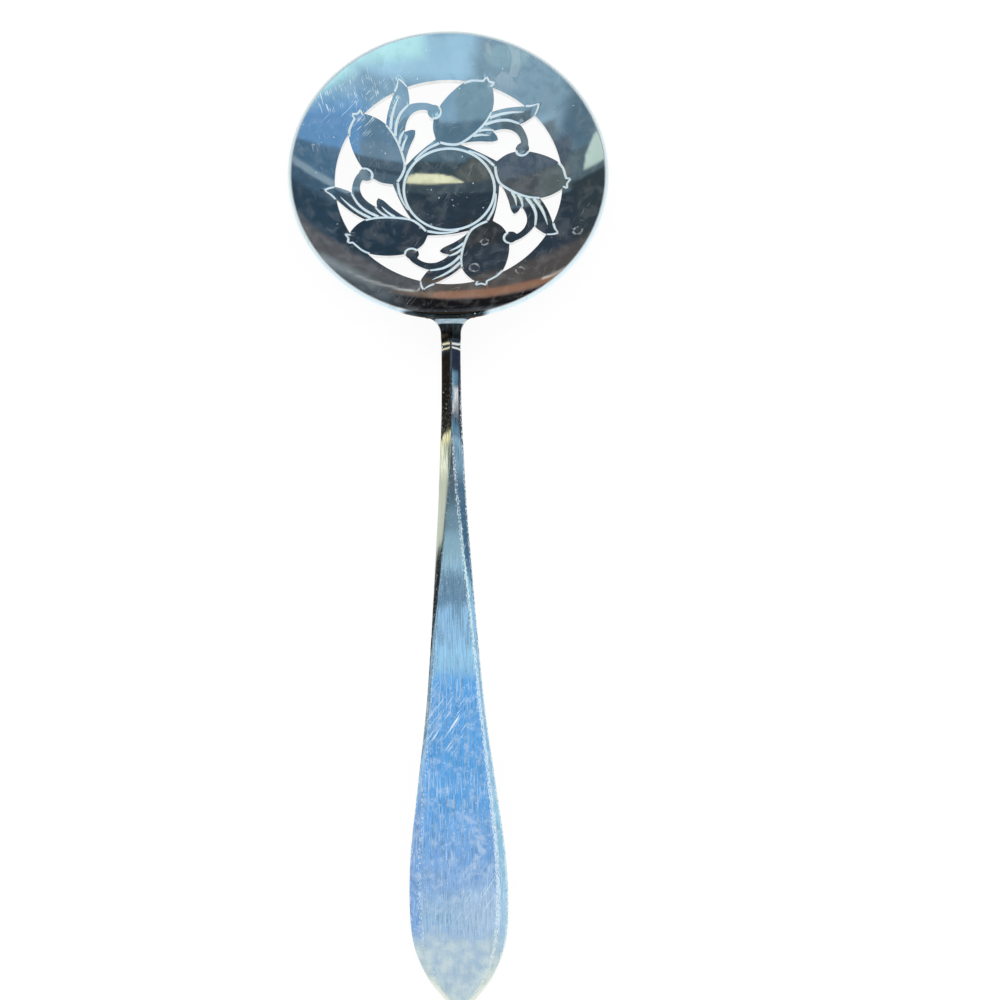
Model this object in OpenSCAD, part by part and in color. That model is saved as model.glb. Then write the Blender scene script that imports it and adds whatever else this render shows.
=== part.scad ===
// Tomato server in silver: a round dished bowl pierced with a whirl of five fruits, leaves
// and hooked stems round a plain centre, on a slender faceted handle that rises from the
// rim, arches over and widens to a pointed end. The whole server is one solid piece.
// Millimetres. The middle of the bowl's underside rests at the origin, Z is up and the
// handle runs along -Y.

/* [Bowl] */
// diameter over the rim
bowl_d = 65.2; // [63:0.2:70]
// depth of the hollow, from the rim's plane to its lowest point
bowl_depth = 9.1; // [8:0.1:10]
// thickness of the dished sheet
wall = 1.1; // [0.9:0.05:1.4]
// how far the rounded lip stands proud of each side of the sheet
lip_bead = 0.03; // [0.02:0.01:0.1]
// how far the small flat under the middle is worn into the sheet
rest_depth = 0.25; // [0.15:0.05:0.4]

/* [Wreath] */
// diameter of the ring in which the wreath is pierced
wreath_d = 46.8; // [44:0.2:49]
// width of a graver cut
cut_w = 0.5; // [0.4:0.05:0.65]
// depth of a graver cut below the inside of the bowl
cut_depth = 0.3; // [0.2:0.05:0.4]

/* [Handle] */
// length of the whole server, from the bowl's far edge to the tip
overall_len = 193.1; // [185:0.5:202]
// width of the neck
neck_w = 3.95; // [3.5:0.05:4.6]
// height of the neck at its root, under the rim
neck_t = 3.2; // [2.9:0.1:3.7]
// greatest width of the handle, a little way before its tip
grip_w = 17.4; // [15:0.1:19]
// thickness of the handle's broad end
grip_t = 2; // [1.7:0.05:2.4]
// height of the arch's top above the table
arch_h = 18.4; // [16:0.1:21]
// radius of the fillets between the neck and the rim
shoulder_r = 2.9; // [2.2:0.1:3.6]

/* [Hidden] */
$fn = 96;
silver = [0.78, 0.79, 0.8];

bowl_r = bowl_d / 2;
// the inside of the bowl is a sphere that passes through the rim at the given depth
inner_r = (bowl_r * bowl_r + bowl_depth * bowl_depth) / (2 * bowl_depth);
outer_r = inner_r + wall;
middle_r = inner_r + wall / 2;
sphere_z = outer_r - rest_depth;
// the rounded lip is a circle round the sheet's edge, its outside on the bowl's diameter
lip_r = wall / 2 + lip_bead;
lip_angle = asin((bowl_r - lip_r) / middle_r);

// the wreath is drawn for a ring of this radius and scaled to the one asked for
drawn_r = 23.4;
fruit_count = 5;
wreath_k = wreath_d / 2 / drawn_r;
whirl_start = -12;
span_steps = 4;

rim_z = sphere_z - middle_r * cos(lip_angle);
handle_len = overall_len - bowl_d;
// the fillets touch the rim's circle and the neck's sides
fillet_s = sqrt(pow(bowl_r + shoulder_r, 2) - pow(neck_w / 2 + shoulder_r, 2));
// width of the blunt ridge along the neck
ridge_w = 0.25;
// where the handle starts, hidden inside the sheet
root_s = bowl_r - wall * 2;

// distance from the bowl's axis at a share of the way from the rim to the tip
function run(share) = bowl_r + share * handle_len;

// height of the sheet's middle at a distance from the bowl's axis
function sheet_z(r) = sphere_z - sqrt(middle_r * middle_r - r * r);

// a point on the smooth span from b to c, with a and d as its neighbours
function span_point(a, b, c, d, t) =
    (2 * b + (c - a) * t + (2 * a - 5 * b + 4 * c - d) * t * t
    + (3 * b - a - 3 * c + d) * t * t * t) / 2;

// a smooth line through open key points
function smooth(keys, steps) =
    let (last = len(keys) - 1)
    [
        for (i = [0 : last - 1], j = [0 : steps - 1])
            span_point(keys[max(i - 1, 0)], keys[i], keys[i + 1], keys[min(i + 2, last)], j / steps),
        keys[last]
    ];

// the sideways unit vector of a line at its point i
function side_of(line, i) =
    let (step = line[min(i + 1, len(line) - 1)] - line[max(i - 1, 0)])
    [-step.y, step.x] / norm(step);

// the outline of a stroke that follows a line: full width at its start, running out to
// the given share of that width at its end
function stroke(line, width, end_share) =
    let (
        last = len(line) - 1,
        half = [for (i = [0 : last]) width / 2 * (1 - (1 - end_share) * pow(i / last, 3))]
    )
    concat(
        [for (i = [0 : last]) line[i] + side_of(line, i) * half[i]],
        [for (i = [last : -1 : 0]) line[i] - side_of(line, i) * half[i]]
    );

// repeats a drawing once for each fruit, round the bowl's axis
module whirl() {
    for (i = [0 : fruit_count - 1])
        rotate(whirl_start - i * 360 / fruit_count)
            children();
}

// the oval fruit, from its root on the centre's band to its crown over the border
module fruit_2d() {
    left_side = [
        [-4.2, 8.9], [-5.1, 10.8], [-6, 12.7], [-6.2, 14.7], [-5.8, 16.7],
        [-4.8, 18.9], [-3.2, 21.2], [-1.2, 23.1], [1.6, 24.2]
    ];
    right_side = [
        [3.6, 24], [4.8, 22.8], [5.4, 21.2], [5.65, 19.6], [5.5, 18],
        [4.7, 16], [3.4, 14], [1.7, 12], [0, 10.5]
    ];
    root = [[-1.5, 9]];
    polygon(concat(smooth(left_side, span_steps), smooth(right_side, span_steps), root));
}

// the large leaf, its base behind the fruit and its tip over the border
module leaf_2d() {
    upper_side = [[3, 16.5], [5.6, 18.2], [8.2, 19.2], [11, 19.75], [13.4, 20], [15, 20.5]];
    lower_side = [[15, 20.5], [14.9, 19.3], [14.6, 18.2], [13.5, 17.2], [12, 16.3], [9, 15.6]];
    base = [[3, 13]];
    polygon(concat(smooth(upper_side, span_steps), smooth(lower_side, span_steps), base));
}

// the stem that hooks over from the leaf to the round end on the next fruit
module stem_2d() {
    outside = [[10.4, 16.7], [12, 16.1], [13.3, 14.7], [14.25, 13], [14.6, 11.3]];
    inside = [
        [12.1, 11.1], [12.45, 11.75], [12.85, 12.3], [12.5, 13.3], [11.5, 14.35],
        [10, 14.95], [8.3, 14.9], [6.4, 14.3], [4, 13.6]
    ];
    polygon(concat(smooth(outside, span_steps), smooth(inside, span_steps)));
    translate(stem_end)
        circle(stem_end_r);
}
stem_end = [13.4, 11.1];
stem_end_r = 1.4;

// the small lobe under the stem
module lobe_2d() {
    under = [[0.2, 10.6], [2, 11.35], [4.4, 11.85], [6.8, 12.1], [7.95, 12.6]];
    over = [[7.95, 12.6], [7.6, 13.35], [6.9, 13.95], [6, 14.5], [3.6, 15]];
    polygon(concat(smooth(under, span_steps), smooth(over, span_steps)));
}

// the band round the plain centre, which widens towards the next fruit
module band_2d() {
    edge = [[-1.6, 10.9], [0.8, 10.4], [3, 9.95], [6, 9.05], [8.7, 8]];
    polygon(concat(smooth(edge, span_steps), [[0, 0]]));
}

// everything that is left standing inside the ring
module wreath_2d() {
    circle(centre_r);
    whirl() {
        fruit_2d();
        leaf_2d();
        stem_2d();
        lobe_2d();
        band_2d();
    }
}
centre_r = 10;
// outer radius of the circle cut round the centre
ring_cut_r = 9.65;

// the openings between the ring and the wreath
module openings_2d() {
    scale(wreath_k)
        difference() {
            circle(drawn_r);
            wreath_2d();
        }
}

// the graver cuts of one fruit and its spray
module cuts_2d() {
    w = cut_w / wreath_k;
    // the near side of the fruit, out of the corner of the band
    near_side = [[-4, 10.1], [-2, 10.1], [0, 10.6], [1.75, 12.1], [3.45, 14.1], [4.7, 16.1], [5.5, 18.2]];
    polygon(stroke(smooth(near_side, 3), w, 0.8));
    // the fruit's edge over the border, up to its crown
    far_edge = [[-1.3, 22.9], [0.3, 23.65], [2.6, 23.9]];
    polygon(stroke(smooth(far_edge, 3), w, 0.9));
    // the crown's two points
    crown = [[2.6, 23.8], [3.1, 24.75], [3.9, 23.9], [5.05, 23.8], [4.35, 23.05]];
    for (i = [0 : len(crown) - 2])
        polygon(stroke([crown[i], crown[i + 1]], w * 0.8, 0.8));
    // the leaf's tip over the border
    polygon(stroke(smooth([[12.4, 19.9], [13.7, 20.05], [15, 20.55]], 2), w * 0.8, 0.5));
    polygon(stroke(smooth([[15, 20.55], [14.95, 19.4], [14.65, 18.3]], 2), w * 0.8, 0.8));
    // the leaf's vein, then the lines between leaf, stem and lobe
    polygon(stroke(smooth([[5.3, 16.9], [7.4, 17.85], [9.7, 18.45], [12.4, 18.8]], 3), w * 1.1, 0.2));
    polygon(stroke(smooth([[4.6, 15.4], [6.8, 16.4], [9.2, 16.8], [11.8, 16.3]], 3), w * 1.1, 0.6));
    polygon(stroke(smooth([[3.5, 13.9], [5, 14.4], [6.7, 14.5]], 2), w, 0.5));
    polygon(stroke(smooth([[2.6, 12.75], [4.2, 13.2], [6.1, 13.35]], 2), w, 0.2));
    // the round end of the stem on the next fruit
    translate(stem_end)
        polygon(stroke([for (a = [195 : 15 : 345]) stem_end_r * [cos(a), sin(a)]], w * 0.9, 0.9));
    // the line along the centre that runs into the corner of the band
    polygon(stroke(smooth([[8.2, 6.95], [6.2, 8.3], [4.2, 9.1], [2.2, 9.55]], 3), w, 0.5));
}

// all the graver cuts inside the bowl, with the circle round the plain centre
module all_cuts_2d() {
    scale(wreath_k) {
        whirl()
            cuts_2d();
        difference() {
            circle(ring_cut_r);
            circle(ring_cut_r - cut_w / wreath_k);
        }
    }
}

// the dished sheet with its rounded lip and the small flat it stands on
module dish() {
    reach = outer_r * 1.2;
    rotate_extrude()
        difference() {
            union() {
                translate([0, sphere_z])
                    intersection() {
                        difference() {
                            circle(outer_r, $fn = 360);
                            circle(inner_r, $fn = 360);
                        }
                        polygon([[0, 0], [0, -reach], [reach * tan(lip_angle), -reach]]);
                    }
                translate([middle_r * sin(lip_angle), rim_z])
                    circle(lip_r);
            }
            translate([-bowl_r, -bowl_r])
                square([bowl_d, bowl_r]);
        }
}

// a drawing pushed up through the whole bowl
module through_bowl() {
    translate([0, 0, -wall])
        linear_extrude(2 * bowl_depth)
            children();
}

// the graver cuts, which keep one depth below the inside of the bowl
module graver_cuts() {
    intersection() {
        through_bowl()
            all_cuts_2d();
        translate([0, 0, sphere_z])
            sphere(inner_r + cut_depth, $fn = 360);
    }
}

// the handle's plan as [distance from the bowl's axis, half width]: a root hidden in the
// sheet, a round fillet out of the rim on to the neck, and the smooth line down to the tip
function sides() =
    concat(
        [[root_s, neck_w / 2 + shoulder_r * 0.6]],
        [for (a = [0 : 15 : 75]) [fillet_s - shoulder_r * cos(a), neck_w / 2 + shoulder_r * (1 - sin(a))]],
        smooth([
            [fillet_s, neck_w / 2], [run(0.035), neck_w * 0.497], [run(0.055), neck_w * 0.493],
            [run(0.09), neck_w * 0.49], [run(0.16), neck_w * 0.5],
            [run(0.24), neck_w * 0.575], [run(0.32), neck_w * 0.67], [run(0.4), grip_w * 0.188],
            [run(0.5), grip_w * 0.238], [run(0.6), grip_w * 0.298], [run(0.7), grip_w * 0.393],
            [run(0.79), grip_w * 0.478], [run(0.855), grip_w * 0.5], [run(0.91), grip_w * 0.47],
            [run(0.955), grip_w * 0.34], [run(0.985), grip_w * 0.165], [run(0.997), grip_w * 0.065],
            [run(1), grip_w * 0.015]
        ], 3)
    );

// rows of [distance, height of the top, thickness, half width of the flat along the top]:
// a hollow behind the rim, the rise to the arch, and the long fall to the table
function heights() =
    smooth([
        [root_s, sheet_z(root_s) + wall * 0.15, wall * 0.3, neck_w * 0.5],
        [bowl_r - wall * 0.36, rim_z + wall * 0.2, wall * 0.5, neck_w * 0.55],
        [bowl_r + neck_t * 0.28, rim_z, neck_t * 0.5, neck_w * 0.47],
        [run(0.019), rim_z - wall * 0.05, neck_t * 0.77, neck_w * 0.22],
        [run(0.032), rim_z + neck_t * 0.11, neck_t * 0.96, ridge_w / 2],
        [run(0.055), rim_z + neck_t * 0.45, neck_t * 1.02, ridge_w / 2],
        [run(0.12), arch_h - (arch_h - rim_z) * 0.58, neck_t, ridge_w / 2],
        [run(0.22), arch_h - (arch_h - rim_z) * 0.26, neck_t * 0.96, ridge_w / 2],
        [run(0.36), arch_h, neck_t * 0.88, grip_w * 0.09],
        [run(0.5), arch_h * 0.94, neck_t * 0.4 + grip_t * 0.6, grip_w * 0.19],
        [run(0.65), arch_h * 0.785, neck_t * 0.2 + grip_t * 0.8, grip_w * 0.292],
        [run(0.8), arch_h * 0.5, grip_t, grip_w * 0.39],
        [run(0.9), arch_h * 0.27 + grip_t * 0.2, grip_t, grip_w * 0.375],
        [run(0.96), arch_h * 0.12 + grip_t * 0.6, grip_t, grip_w * 0.24],
        [run(1), grip_t, grip_t, grip_w * 0.008]
    ], 4);

// the first column of a table with another one, for looking up the second by the first
function column(rows, k) = [for (r = rows) [r[0], r[k]]];

// the eight corners of the handle's section: the flat along the top, a bevel down to each
// edge, the upright sides and the chamfers under them
function section(s, half, top, thick, flat_half) =
    let (
        flat = min(flat_half, half * 0.85),
        edge = top - min(thick * 0.38, (half - flat) * 0.6),
        bottom = top - thick,
        chamfer = min(half * 0.4, thick * 0.3)
    )
    [
        [-flat, -s, top], [flat, -s, top],
        [half, -s, edge], [half, -s, bottom + chamfer],
        [half - chamfer, -s, bottom], [chamfer - half, -s, bottom],
        [-half, -s, bottom + chamfer], [-half, -s, edge]
    ];

// a solid through a row of sections
module loft(sections) {
    corners = len(sections[0]);
    last = len(sections) - 1;
    skins = [
        for (i = [0 : last - 1], j = [0 : corners - 1])
            let (a = i * corners + j, b = i * corners + (j + 1) % corners)
            each [[a, b, b + corners], [a, b + corners, a + corners]]
    ];
    root = [for (j = [corners - 1 : -1 : 0]) j];
    tip = [for (j = [0 : corners - 1]) last * corners + j];
    polyhedron([for (points = sections) each points], concat([root], skins, [tip]));
}

// the handle, from inside the sheet to the tip
module handle() {
    rows = heights();
    tops = column(rows, 1);
    thicks = column(rows, 2);
    flats = column(rows, 3);
    loft([
        for (p = sides())
            section(p.x, p.y, lookup(p.x, tops), lookup(p.x, thicks), lookup(p.x, flats))
    ]);
}

// the drop under the rim: it tapers out of the bowl's underside and fills in to the neck
module drop() {
    start_s = bowl_r - neck_t * 1.7;
    full_s = bowl_r - neck_t * 0.9;
    rim_s = bowl_r - wall * 0.2;
    end_s = bowl_r + neck_t * 1.05;
    under = rim_z - neck_t * 0.82;
    rows = smooth([
        [start_s, neck_w * 0.08, sheet_z(start_s), sheet_z(start_s) - under - wall * 0.1],
        [full_s, neck_w * 0.33, sheet_z(full_s), sheet_z(full_s) - under],
        [rim_s, neck_w * 0.46, rim_z - wall * 0.2, rim_z - wall * 0.2 - under],
        [end_s, neck_w * 0.47, rim_z - wall * 0.6, rim_z - wall * 0.6 - under]
    ], 3);
    loft([for (r = rows) section(r[0], r[1], r[2], r[3], r[1] * 0.8)]);
}

module tomato_server() {
    color(silver)
        difference() {
            union() {
                dish();
                drop();
                handle();
            }
            through_bowl()
                openings_2d();
            graver_cuts();
        }
}

tomato_server();
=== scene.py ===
import math
import bpy
import bmesh
import numpy as np
from mathutils import Matrix, Vector, noise


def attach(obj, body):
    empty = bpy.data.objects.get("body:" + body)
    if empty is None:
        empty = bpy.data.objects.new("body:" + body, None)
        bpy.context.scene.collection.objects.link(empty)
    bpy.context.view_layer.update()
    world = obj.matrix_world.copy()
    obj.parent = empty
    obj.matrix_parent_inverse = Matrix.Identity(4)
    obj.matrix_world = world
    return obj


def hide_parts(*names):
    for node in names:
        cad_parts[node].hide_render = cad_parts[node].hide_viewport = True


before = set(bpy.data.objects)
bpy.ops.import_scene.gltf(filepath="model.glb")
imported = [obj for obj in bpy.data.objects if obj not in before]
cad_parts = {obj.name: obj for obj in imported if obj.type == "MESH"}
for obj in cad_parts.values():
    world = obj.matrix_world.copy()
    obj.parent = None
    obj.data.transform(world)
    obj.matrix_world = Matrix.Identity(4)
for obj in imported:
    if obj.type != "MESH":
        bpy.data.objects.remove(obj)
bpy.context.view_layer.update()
mm = 0.001
joined = 1e-7  # in metres, points this close are one point
closeBy = 2e-6  # the same after the Booleans


# shaping helpers, all of them in millimetres until a point goes into a mesh

def smoothLine(keys, steps):
    # a smooth line through the key points, with any number of values in each
    line = []
    last = len(keys) - 1
    for i in range(last):
        a, b, c, d = keys[max(i - 1, 0)], keys[i], keys[i + 1], keys[min(i + 2, last)]
        for j in range(steps):
            t = j / steps
            line.append([
                (2 * q + (r - p) * t + (2 * p - 5 * q + 4 * r - s) * t * t
                 + (3 * q - p - 3 * r + s) * t ** 3) / 2
                for p, q, r, s in zip(a, b, c, d)
            ])
    line.append(list(keys[last]))
    return line


def readTable(rows, s):
    # the other columns of a row, at s in the first one
    if s <= rows[0][0]:
        return rows[0][1:]
    for a, b in zip(rows, rows[1:]):
        if s <= b[0]:
            t = (s - a[0]) / (b[0] - a[0])
            return [p + (q - p) * t for p, q in zip(a[1:], b[1:])]
    return rows[-1][1:]


def loftSolid(name, sections):
    # a face is put at the first section and extruded to each of the others
    bpy.ops.object.select_all(action="DESELECT")
    bpy.ops.mesh.primitive_circle_add(vertices=len(sections[0]), radius=mm, fill_type="NGON")
    solid = bpy.context.object
    solid.name = solid.data.name = name
    bpy.ops.object.mode_set(mode="EDIT")
    cage = bmesh.from_edit_mesh(solid.data)
    corner = cage.verts.layers.int.new("corner")
    for k, vert in enumerate(cage.verts):
        vert[corner] = k
        vert.co = Vector(sections[0][k]) * mm
    for section in sections[1:]:
        bpy.ops.mesh.extrude_region_move()
        cage = bmesh.from_edit_mesh(solid.data)
        corner = cage.verts.layers.int["corner"]
        for vert in cage.verts:
            if vert.select:
                vert.co = Vector(section[vert[corner]]) * mm
    cage.verts.layers.int.remove(corner)
    bpy.ops.mesh.select_all(action="SELECT")
    bpy.ops.mesh.normals_make_consistent(inside=False)
    bpy.ops.object.mode_set(mode="OBJECT")
    return solid


def prism(name, outline, low, high):
    return loftSolid(name, [[(x, y, z) for x, y in outline] for z in (low, high)])


def copyRound(solids, count):
    # copies of the solids, each with its own mesh, at equal turns about the bowl's axis
    copies = list(solids)
    for k in range(1, count):
        for solid in solids:
            twin = solid.copy()
            twin.data = solid.data.copy()
            twin.data.transform(Matrix.Rotation(-k * 2 * math.pi / count, 4, "Z"))
            bpy.context.collection.objects.link(twin)
            copies.append(twin)
    return copies


def carve(target, cutters, operation="DIFFERENCE"):
    # one Boolean with all the cutters, which are deleted afterwards
    tray = bpy.data.collections.new("cutters")
    bpy.context.scene.collection.children.link(tray)
    for cutter in cutters:
        tray.objects.link(cutter)
    boolean = target.modifiers.new("carve", "BOOLEAN")
    boolean.operation = operation
    boolean.operand_type = "COLLECTION"
    boolean.collection = tray
    boolean.solver = "MANIFOLD"
    bpy.ops.object.select_all(action="DESELECT")
    bpy.context.view_layer.objects.active = target
    target.select_set(True)
    bpy.ops.object.modifier_apply(modifier=boolean.name)
    for cutter in cutters:
        bpy.data.objects.remove(cutter)
    bpy.data.collections.remove(tray)


def spinRound(steps):
    # spins the selected profile about the bowl's axis and closes it
    bpy.ops.mesh.spin(steps=steps, angle=2 * math.pi, center=(0, 0, 0), axis=(0, 0, 1))
    bpy.ops.mesh.select_all(action="SELECT")
    bpy.ops.mesh.remove_doubles(threshold=joined)
    bpy.ops.mesh.normals_make_consistent(inside=False)
    bpy.ops.object.mode_set(mode="OBJECT")


# the bowl, spun from its profile: a small flat below, a sphere outside and inside, a rounded lip

bowl = {
    "radius": 32.6,
    "depth": 9.1,
    "wall": 1.1,
    "lipBead": 0.03,
    "restDepth": 0.25,
    "besideLip": 0.7,  # how far before the lip the two spheres end
    "turns": 288,
    "rings": 18,
    "lipSteps": 12,
}
innerR = (bowl["radius"] ** 2 + bowl["depth"] ** 2) / (2 * bowl["depth"])
outerR = innerR + bowl["wall"]
middleR = innerR + bowl["wall"] / 2
sphereZ = outerR - bowl["restDepth"]
lipR = bowl["wall"] / 2 + bowl["lipBead"]
lipAngle = math.asin((bowl["radius"] - lipR) / middleR)
rimZ = sphereZ - middleR * math.cos(lipAngle)


def insideZ(r):
    # height of the inside of the bowl at a distance from its axis
    return sphereZ - math.sqrt(innerR ** 2 - r * r)


def spinBowl():
    flatR = math.sqrt(outerR ** 2 - sphereZ ** 2)
    shell = []
    for radius, first in ((outerR, math.asin(flatR / outerR)), (innerR, 0)):
        last = lipAngle - bowl["besideLip"] / radius
        angles = [first + (last - first) * k / bowl["rings"] for k in range(bowl["rings"] + 1)]
        shell.append([(radius * math.sin(a), sphereZ - radius * math.cos(a)) for a in angles])
    under, inside = shell
    lip = []
    for k in range(bowl["lipSteps"] + 1):
        turn = lipAngle - math.pi / 2 + k * math.pi / bowl["lipSteps"]
        lip.append((
            middleR * math.sin(lipAngle) + lipR * math.cos(turn),
            rimZ + lipR * math.sin(turn),
        ))
    profile = [(0, 0), *under, *lip, *reversed(inside)]
    bpy.ops.object.select_all(action="DESELECT")
    bpy.ops.mesh.primitive_circle_add(vertices=len(profile), radius=mm, fill_type="NOTHING")
    dish = bpy.context.object
    dish.name = dish.data.name = "tomatoServerSilver"
    bpy.ops.object.mode_set(mode="EDIT")
    cage = bmesh.from_edit_mesh(dish.data)
    cage.verts.ensure_lookup_table()
    for vert, (r, z) in zip(cage.verts, profile):
        vert.co = (r * mm, 0, z * mm)
    bpy.ops.mesh.select_all(action="DESELECT")
    for edge in cage.edges:  # the edge along the axis isn't spun
        edge.select = all(vert.co.x < joined for vert in edge.verts)
    bpy.ops.mesh.delete(type="EDGE")
    bpy.ops.mesh.select_all(action="SELECT")
    spinRound(bowl["turns"])
    return dish


server = spinBowl()
print("bowl spun", len(server.data.polygons))


# the openings: a ring less the wreath of fruits, leaves, stems and lobes round the plain centre

wreath = {
    "ringR": 23.4,
    "centreR": 10.0,
    "fruits": 5,
    "start": -12.0,
    "steps": 6,
    "low": -2,  # the cutters reach from under the bowl to over its rim
    "high": 17,
    "ringInset": 1,
    "fruitLeft": [
        (-4.2, 8.9), (-5.1, 10.8), (-6, 12.7), (-6.2, 14.7), (-5.8, 16.7),
        (-4.8, 18.9), (-3.2, 21.2), (-1.2, 23.1), (1.6, 24.2),
    ],
    "fruitRight": [
        (3.6, 24), (4.8, 22.8), (5.4, 21.2), (5.65, 19.6), (5.5, 18),
        (4.7, 16), (3.4, 14), (1.7, 12), (0, 10.5),
    ],
    "fruitRoot": [(-1.5, 9)],
    "leafUpper": [(3, 16.5), (5.6, 18.2), (8.2, 19.2), (11, 19.75), (13.4, 20), (15, 20.5)],
    "leafLower": [(15, 20.5), (14.9, 19.3), (14.6, 18.2), (13.5, 17.2), (12, 16.3), (9, 15.6)],
    "leafBase": [(3, 13)],
    "stemOutside": [(10.4, 16.7), (12, 16.1), (13.3, 14.7), (14.25, 13), (14.6, 11.3)],
    "stemInside": [
        (12.1, 11.1), (12.45, 11.75), (12.85, 12.3), (12.5, 13.3), (11.5, 14.35),
        (10, 14.95), (8.3, 14.9), (6.4, 14.3), (4, 13.6),
    ],
    "stemEnd": (13.4, 11.1),
    "stemEndR": 1.4,
    "stemEndSteps": 48,
    "lobeUnder": [(0.2, 10.6), (2, 11.35), (4.4, 11.85), (6.8, 12.1), (7.95, 12.6)],
    "lobeOver": [(7.95, 12.6), (7.6, 13.35), (6.9, 13.95), (6, 14.5), (3.6, 15)],
    "bandEdge": [(-1.6, 10.9), (0.8, 10.4), (3, 9.95), (6, 9.05), (8.7, 8)],
}


def turned(points):
    # from the upright drawing of one fruit to its place in the bowl
    a = math.radians(wreath["start"])
    return [(x * math.cos(a) - y * math.sin(a), x * math.sin(a) + y * math.cos(a)) for x, y in points]


def joinedLines(*parts):
    # an outline from smooth stretches, given by name, without doubled points
    outline = []
    for part in parts:
        keys = wreath[part]
        for point in smoothLine(keys, wreath["steps"]) if len(keys) > 1 else keys:
            if not outline or math.dist(point, outline[-1]) > joined / mm:
                outline.append(tuple(point))
    return turned(outline)


def arcPoints(x, y, radius, angles):
    return [(x + radius * math.cos(a), y + radius * math.sin(a)) for a in angles]


def roundOutline(x, y, radius, count):
    return arcPoints(x, y, radius, [2 * math.pi * k / count for k in range(count)])


def pierce(dish):
    low, high, inset = wreath["low"], wreath["high"], wreath["ringInset"]
    stemEnd = turned(roundOutline(*wreath["stemEnd"], wreath["stemEndR"], wreath["stemEndSteps"]))
    unit = [
        prism("fruit", joinedLines("fruitLeft", "fruitRight", "fruitRoot"), low, high),
        prism("leaf", joinedLines("leafUpper", "leafLower", "leafBase"), low, high),
        prism("stem", joinedLines("stemOutside", "stemInside"), low, high),
        prism("stemEnd", stemEnd, low, high),
        prism("lobe", joinedLines("lobeUnder", "lobeOver"), low, high),
        prism("band", joinedLines("bandEdge") + [(0, 0)], low, high),
    ]
    standing = copyRound(unit, wreath["fruits"])
    standing.append(prism("centre", roundOutline(0, 0, wreath["centreR"], bowl["turns"] // 2), low, high))
    ring = prism("ring", roundOutline(0, 0, wreath["ringR"], bowl["turns"]), low + inset, high - inset)
    carve(ring, standing)
    carve(dish, [ring])


pierce(server)
print("openings pierced", len(server.data.polygons))


# the graver's cuts, which draw the fruits, leaves and stems: V-shaped and running out to nothing

graver = {
    "width": 0.6,
    "depth": 0.24,
    "above": 0.12,
    "reach": 0.3,  # no cut goes deeper than this into the bowl,
    "outerR": 25.5,  # or further out
    "steps": 5,
    "straightSteps": 3,
    "circleR": 9.4,
    "strokes": [
        # key points, share of the cut's width, share of that left at the end
        ([(-4, 10.1), (-2, 10.1), (0, 10.6), (1.75, 12.1), (3.45, 14.1), (4.7, 16.1), (5.5, 18.2)], 1, 0.8),
        ([(-1.3, 22.9), (0.3, 23.65), (2.6, 23.9)], 1, 0.9),
        ([(2.6, 23.8), (3.1, 24.75)], 0.8, 0.8),
        ([(3.1, 24.75), (3.9, 23.9)], 0.8, 0.8),
        ([(3.9, 23.9), (5.05, 23.8)], 0.8, 0.8),
        ([(5.05, 23.8), (4.35, 23.05)], 0.8, 0.8),
        ([(12.4, 19.9), (13.7, 20.05), (15, 20.55)], 0.8, 0.5),
        ([(15, 20.55), (14.95, 19.4), (14.65, 18.3)], 0.8, 0.8),
        ([(5.3, 16.9), (7.4, 17.85), (9.7, 18.45), (12.4, 18.8)], 1.1, 0.2),
        ([(4.6, 15.4), (6.8, 16.4), (9.2, 16.8), (11.8, 16.3)], 1.1, 0.6),
        ([(3.5, 13.9), (5, 14.4), (6.7, 14.5)], 1, 0.5),
        ([(2.6, 12.75), (4.2, 13.2), (6.1, 13.35)], 1, 0.2),
        ([(8.2, 6.95), (6.2, 8.3), (4.2, 9.1), (2.2, 9.55)], 1, 0.5),
        (arcPoints(*wreath["stemEnd"], wreath["stemEndR"], map(math.radians, range(195, 346, 30))), 0.9, 0.9),
    ],
}


def cutSection(x, y, sideX, sideY, width):
    # two corners above the sheet and one at the bottom of the cut
    depth = graver["depth"] * width / graver["width"]
    reach = width / 2 * (depth + graver["above"]) / depth
    z = insideZ(math.hypot(x, y))
    return [
        (x + sideX * reach, y + sideY * reach, z + graver["above"]),
        (x - sideX * reach, y - sideY * reach, z + graver["above"]),
        (x, y, z - depth),
    ]


def strokeSolid(keys, widthShare, endShare):
    line = turned(smoothLine(keys, graver["steps" if len(keys) > 2 else "straightSteps"]))
    last = len(line) - 1
    sections = []
    for i, (x, y) in enumerate(line):
        ax, ay = line[max(i - 1, 0)]
        bx, by = line[min(i + 1, last)]
        length = math.hypot(bx - ax, by - ay)
        width = graver["width"] * widthShare * (1 - (1 - endShare) * (i / last) ** 3)
        sections.append(cutSection(x, y, -(by - ay) / length, (bx - ax) / length, width))
    return loftSolid("stroke", sections)


def centreCircle():
    # the circle round the plain centre, one closed cut
    bpy.ops.object.select_all(action="DESELECT")
    bpy.ops.mesh.primitive_circle_add(vertices=3, radius=mm, fill_type="NOTHING")
    circle = bpy.context.object
    circle.name = "centreCircle"
    bpy.ops.object.mode_set(mode="EDIT")
    cage = bmesh.from_edit_mesh(circle.data)
    for vert, (x, y, z) in zip(cage.verts, cutSection(graver["circleR"], 0, 1, 0, graver["width"])):
        vert.co = (x * mm, y * mm, z * mm)
    spinRound(bowl["turns"] // 2)
    return circle


cuts = [strokeSolid(*stroke) for stroke in graver["strokes"]]
carve(server, copyRound(cuts, wreath["fruits"]) + [centreCircle()])
print("cuts engraved", len(server.data.polygons))


# the handle, lofted through its sections, and the drop under the rim that it grows out of

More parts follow.
